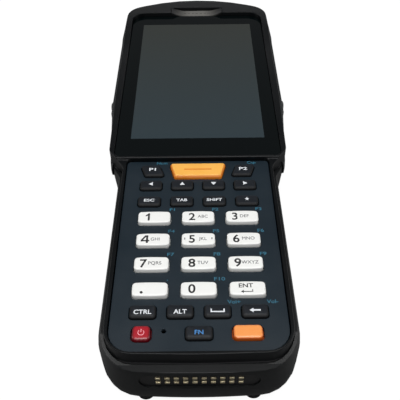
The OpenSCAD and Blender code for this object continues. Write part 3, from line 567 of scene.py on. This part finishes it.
def ink_words(shape, words, height, x, y, low, bold=0.0, wide=1.0):
    """Adds words with capitals this high, in the middle of a place."""
    curve = bpy.data.curves.new("words", "FONT")
    curve.body = words
    curve.extrude = 0.5
    curve.offset = 0 if "4" in words else bold  # the eye of a 4 folds over when its outline moves
    curve.resolution_u = 6
    holder = bpy.data.objects.new("words", curve)
    mesh = bpy.data.meshes.new_from_object(holder)
    width = [v.co.x for v in mesh.vertices]
    scale = height / CAPITAL
    shift = Matrix.Translation((-(min(width) + max(width)) / 2, -CAPITAL / 2, 0.5))
    size = Matrix.Diagonal((scale * wide * MM, scale * MM, INK * MM, 1))
    mesh.transform(Matrix.Translation((x * MM, y * MM, low * MM)) @ size @ shift)
    shape.from_mesh(mesh)
    bmesh.ops.remove_doubles(shape, verts=shape.verts, dist=1e-6)
    bpy.data.objects.remove(holder)
    bpy.data.curves.remove(curve)
    bpy.data.meshes.remove(mesh)


def ink_patch(shape, corners, at, x=0.0, y=0.0, high=INK):
    """Adds a flat mark with these corners round a place beside the middle of a key."""
    foot = [shape.verts.new(((at.x + x + dx) * MM, (at.y + y + dy) * MM, at.z * MM))
            for dx, dy in corners]
    raised = bmesh.ops.extrude_face_region(shape, geom=[shape.faces.new(foot)])["geom"]
    bmesh.ops.translate(shape, vec=(0, 0, high * MM),
                        verts=[part for part in raised if isinstance(part, bmesh.types.BMVert)])
    bmesh.ops.recalc_face_normals(shape, faces=shape.faces[:])


def bar(x0, y0, x1, y1):
    return [(x0, y0), (x1, y0), (x1, y1), (x0, y1)]


def ring_points(radius, turns):
    return [(radius * math.cos(turn), radius * math.sin(turn)) for turn in turns]


def printed(name, shape, material, key):
    piece(name, shape, material, key, slots[key])


def ink(name, shade):
    """Printing ink, a little uneven where the pad left it."""
    spot = surface(name)
    uneven = spot.noise(0.6 * MM)
    lighter = tuple(min(part * 1.12 + 0.004, 1) for part in shade)
    return finished(spot, Base_Color=uneven.tint(shade, lighter),
                    Roughness=uneven.drift(0.45, 0.55))


black_ink = ink("black ink", linear(22, 22, 24))
grey_ink = ink("grey ink", linear(82, 82, 86))
white_ink = ink("white ink", linear(224, 228, 232))
blue_ink = ink("blue ink", linear(64, 128, 190))
teal_ink = ink("teal ink", linear(44, 102, 124))
pink_ink = ink("pale ink", linear(236, 150, 160))
amber_ink = ink("amber bar", linear(226, 134, 36))

DIGIT_HIGH, DIGIT_RISE, DIGIT_BOLD, DIGIT_WIDE = 3.2, -0.05, 0.017, 1.04
SMALL_HIGH = 1.3
# the 1 has a flag and no foot, and the 4 is drawn as its slope with its bar, and its post
DRAWN = {
    "1": [[(0.4, -1.6), (1.0, -1.6), (1.0, 1.6), (0.5, 1.6), (0.3, 1.23), (0.0, 0.96),
           (-0.4, 0.77), (-0.4, 0.22), (0.0, 0.35), (0.4, 0.6)]],
    "4": [[(0.3, 1.58), (-0.05, 1.58), (-1.4, -0.35), (-1.4, -0.95), (0.3, -0.95), (0.3, -0.4),
           (-0.75, -0.4), (0.3, 1.05)],
          [(0.3, 1.6), (0.3, -1.6), (0.95, -1.6), (0.95, -0.95), (1.35, -0.95), (1.35, -0.4),
           (0.95, -0.4), (0.95, 1.6)]],
}
# the letters of a digit, and how far right of the key's middle they stand
LETTERS = {"2": ("ABC", 1.55), "3": ("DEF", 0.75), "4": ("GHI", 0.75), "5": ("JKL", 1.45),
           "6": ("MNO", 1.45), "7": ("PQRS", 1.1), "8": ("TUV", 1.35), "9": ("WXYZ", 1.35)}
for digit in "1234567890":
    key = "key_" + digit
    at = tops[key]
    place = -2.1 if digit in "2580" else -2.5
    shape = bmesh.new()
    if digit in DRAWN:
        for stroke in DRAWN[digit]:
            ink_patch(shape, stroke, at, place, DIGIT_RISE)
    else:
        ink_words(shape, digit, DIGIT_HIGH, at.x + place, at.y + DIGIT_RISE, at.z, DIGIT_BOLD,
                  DIGIT_WIDE)
    printed("legend_" + digit, shape, black_ink, key)
    if digit in LETTERS:
        letters, place = LETTERS[digit]
        shape = bmesh.new()
        ink_words(shape, letters, SMALL_HIGH, at.x + place, at.y, at.z)
        if digit == "5":
            # the raised marks that a finger finds the middle key by
            for side in (-4.45, 4.45):
                ink_patch(shape, bar(-0.15, -0.35, 0.15, 0.35), at, side, high=RAISED_MARK)
        printed("letters_" + digit, shape, grey_ink, key)

shape = bmesh.new()
dot = ring_points(0.45, [n * math.pi / 8 for n in range(16)])
ink_patch(shape, dot, tops["key_point"], -2.5, -1.3)
printed("legend_point", shape, black_ink, "key_point")

RETURN = [(-1.9, 0), (-1.1, 0.55), (-1.1, 0.12), (1.5, 0.12), (1.5, 0.8), (1.75, 0.8),
          (1.75, -0.12), (-1.1, -0.12), (-1.1, -0.55)]
at = tops["key_enter"]
shape = bmesh.new()
ink_words(shape, "ENT", 1.5, at.x - 0.5, at.y + 0.9, at.z, bold=0.015, wide=1.15)
ink_patch(shape, RETURN, at, -0.2, -1.35)
printed("legend_enter", shape, black_ink, "key_enter")

# words, their height, how much wider than high they are set, and how far up from the middle
WORDS = {"esc": ("ESC", 1.25, 1.3, 0.2), "tab": ("TAB", 1.25, 1.2, 0.2),
         "shift": ("SHIFT", 1.25, 1.25, 0.2), "ctrl": ("CTRL", 1.5, 1.05, -0.2),
         "alt": ("ALT", 1.5, 1.05, -0.2), "p1": ("P1", 1.5, 1.5, 0.55),
         "p2": ("P2", 1.5, 1.5, 0.55), "fn": ("FN", 1.4, 1.15, 0.0)}
for name, (words, height, wide, rise) in WORDS.items():
    at = tops["key_" + name]
    shape = bmesh.new()
    ink_words(shape, words, height, at.x, at.y + rise, at.z, bold=0.02, wide=wide)
    printed("legend_" + name, shape, blue_ink if name == "fn" else white_ink, "key_" + name)

star = [(reach * math.sin(n * math.pi / 5), -reach * math.cos(n * math.pi / 5))
        for n, reach in enumerate([0.36, 0.85] * 5)]
# how far up from the middle a mark stands, and its corners
MARKS = {
    "left": (0.4, [(-0.9, 0), (0.6, -0.85), (0.6, 0.85)]),
    "right": (0.4, [(0.9, 0), (-0.6, 0.85), (-0.6, -0.85)]),
    "up": (0.4, [(0, 0.8), (-0.95, -0.6), (0.95, -0.6)]),
    "down": (0.4, [(0, -0.8), (0.95, 0.6), (-0.95, 0.6)]),
    "backspace": (0, [(-1.7, 0), (-0.5, -0.8), (-0.5, -0.28), (1.6, -0.28), (1.6, 0.28),
                      (-0.5, 0.28), (-0.5, 0.8)]),
    "space": (0, [(-2.1, 0.6), (-2.1, -0.6), (2.1, -0.6), (2.1, 0.6), (1.7, 0.6), (1.7, -0.2),
                  (-1.7, -0.2), (-1.7, 0.6)]),
    "star": (0.4, star),
}
for name, (rise, corners) in MARKS.items():
    shape = bmesh.new()
    ink_patch(shape, corners, tops["key_" + name], y=rise)
    printed("legend_" + name, shape, white_ink, "key_" + name)

# an open ring with a bar in its gap
turns = [math.radians(130 + n * 14) for n in range(21)]
at = tops["key_power"]
shape = bmesh.new()
ink_patch(shape, ring_points(0.74, turns) + ring_points(0.98, reversed(turns)), at)
ink_patch(shape, bar(-0.13, 0.1, 0.13, 1.1), at)
printed("legend_power", shape, pink_ink, "key_power")

# the bar that a thumb finds the scan key by
shape = bmesh.new()
ink_patch(shape, bar(-5, -0.25, 5, 0.25), tops["key_scan"], high=RAISED_BAR)
printed("scan_key_bar", shape, amber_ink, "key_scan")

# the key that a legend of the panel stands beside, its words, their place and how wide they are set
SECOND = [("%d" % (n % 10), "F%d" % n, 6.5 if n == 10 else 5.95, 4.4, 1.35) for n in range(1, 11)]
SECOND += [("point", ",", 5.2, 4.6, 1.12), ("space", "Vol+", 5.0, 3.6, 1.12),
           ("backspace", "Vol-", 5.5, 3.6, 1.12), ("p1", "Num", 3.3, 4.8, 1.12),
           ("p2", "Cap", 3.3, 4.8, 1.12)]
panel_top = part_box("keypad_panel")[1].z / MM
shape = bmesh.new()
for name, words, x, y, wide in SECOND:
    at = tops["key_" + name]
    ink_words(shape, words, SMALL_HIGH, at.x + x, at.y + y, panel_top, bold=0.014, wide=wide)
piece("panel_legends", shape, teal_ink, "body", "panel_plastic")


# ---- Scan window and engine ----
# A tinted window of red acrylic closes the top end. The engine behind it looks out through two
# lenses, one for the sensor and one for the aiming beam.
LENS_HEIGHT = 10 * MM
LENS_DEEP = 1.2 * MM
LENS_BULGE = 0.35
spot = surface("red acrylic")
wave = spot.noise(6 * MM, 2.0, 0.5)
window_finish = finished(spot, Base_Color=wave.tint(linear(92, 8, 16), linear(112, 12, 22)),
                         Roughness=0.05, Coat_Weight=1.0, Alpha=wave.drift(0.8, 0.86))
moulded("scan_window", "scan_window_pane", window_finish, "red_window", radius=0.15 * MM)
dress("scan_engine", grained("engine housing", linear(28, 28, 30), linear(38, 38, 40), 0.5))
spot = surface("coated lens")
deep = spot.noise(4 * MM, 2.0, 0.5)
lens_finish = finished(spot, Base_Color=deep.tint(linear(20, 16, 60), linear(36, 18, 84)),
                       Roughness=0.03, Coat_Weight=1.0)
engine_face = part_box("scan_engine")[1].y
for name, x, radius in (("engine_lens_sensor", -5, 2.7), ("engine_lens_aimer", 5.5, 1.8)):
    place = Matrix.Translation((x * MM, engine_face - LENS_DEEP, LENS_HEIGHT))
    dome = Matrix.Rotation(math.radians(90), 4, "X") @ Matrix.Diagonal((1, 1, LENS_BULGE, 1))
    shape = bmesh.new()
    bmesh.ops.create_uvsphere(shape, u_segments=32, v_segments=16, radius=radius * MM,
                              matrix=place @ dome)
    piece(name, shape, lens_finish, "body", "lens_glass", 60)


# ---- Side keys ----
# One rubber-topped key on each side of the head, with a round nub to find it by. It presses a
# switch on the edge of the main board.
side_finish = grained("side key rubber", linear(26, 28, 31), linear(34, 36, 39), 0.5,
                      grain=0.4 * MM, depth=0.008 * MM)
for side in ("left", "right"):
    key = "side_key_" + side
    moulded(key, "side_cap_" + side, side_finish, "side_key_plastic", key, radius=0.18 * MM)


# ---- Dock connector ----
# Twenty gold-plated spring contacts in two rows stand in a black block behind the oval slot in
# the near end.
dress("dock_connector", grained("connector plastic", linear(10, 10, 11), linear(16, 16, 17), 0.5))
spot = surface("gold plate")
worn = spot.noise(0.9 * MM)
gold_finish = finished(spot, Base_Color=worn.tint(linear(222, 204, 156), linear(240, 230, 200)),
                       Roughness=worn.drift(0.25, 0.4), Metallic=1.0)
moulded("dock_contacts", "dock_contact_pins", gold_finish, "gold_contacts",
        radius=0.16 * MM, segments=3)


# ---- Battery pack and latch ----
# The pack is a moulded box with the cells inside and a curved outer face that carries on the back
# of the case. A sliding latch holds its upper end, and its ribs give the thumb a grip.
pack_finish = grained("pack plastic", linear(18, 20, 22), linear(25, 27, 29), 0.46,
                      grain=0.5 * MM, depth=0.014 * MM)
moulded("battery_pack", "battery_pack_box", pack_finish, "battery_plastic", "battery", angle=32,
        radius=0.3 * MM, above=50)
latch_finish = grained("latch plastic", linear(44, 46, 50), linear(54, 56, 60), 0.42,
                       grain=0.4 * MM, depth=0.01 * MM)
moulded("battery_latch", "battery_latch_slide", latch_finish, "latch_plastic", "latch", angle=32,
        radius=0.12 * MM, above=50)
dress("battery_contacts", gold_finish)


# ---- Camera and lamp ----
# A black glass disc covers the camera, with a clear eye over its lens, and a frosted pipe of clear
# plastic carries the lamp's light out beside it.
EYE_RADIUS = 1.9 * MM
RING_INNER, RING_OUTER = 2.9 * MM, 3.25 * MM
PIPE_BELOW = 8 * MM
low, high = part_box("camera_module")
at_camera = (low + high) / 2
spot = surface("camera glass")
x, y = spot.axes()[:2]
dx, dy = x - at_camera.x, y - at_camera.y
radius = spot.math("SQRT", dx * dx + dy * dy)
eye = radius < EYE_RADIUS
ring = (radius > RING_INNER) * (radius < RING_OUTER)
pipe = y < at_camera.y - PIPE_BELOW
disc = eye.tint(ring.tint(linear(12, 13, 15), linear(120, 122, 126)), linear(30, 22, 70))
frosted = spot.noise(0.8 * MM, 2.0, 0.5).tint(linear(214, 212, 196), linear(228, 226, 212))
camera_finish = finished(spot, Base_Color=pipe.tint(disc, frosted),
                         Roughness=pipe.span(0, 1, 0.05, 0.3), Coat_Weight=1.0)
moulded("camera_window", "camera_cover", camera_finish, "lens_glass", radius=0.15 * MM)
dress("camera_module", grained("camera housing", linear(30, 30, 32), linear(40, 40, 42), 0.4))


# ---- Speaker and motor ----
# The loudspeaker's box sits behind five slots in the back, and the coin motor for the silent
# alarm behind the hump.
dress("speaker", grained("speaker mesh", linear(34, 34, 36), linear(60, 60, 62), 0.6,
                         grain=0.6 * MM, depth=0.05 * MM))
dress("vibration_motor", grained("motor can", linear(150, 152, 154), linear(176, 178, 180), 0.3,
                                 Metallic=1.0))


# ---- Screws and feet ----
# Six zinc-plated socket screws close the case from the back. Two rubber feet stand under the near
# end.
screw_finish = grained("screw steel", linear(84, 86, 90), linear(110, 112, 116), 0.3,
                       grain=0.6 * MM, depth=0.004 * MM, Metallic=1.0)
moulded("case_screws", "case_screw_set", screw_finish, "screw_steel", radius=0.1 * MM, above=50)
foot_finish = grained("foot rubber", linear(14, 14, 15), linear(22, 22, 23), 0.7,
                      grain=0.5 * MM, depth=0.02 * MM)
moulded("rubber_feet", "foot_pads", foot_finish, "foot_rubber", radius=0.25 * MM, segments=3)
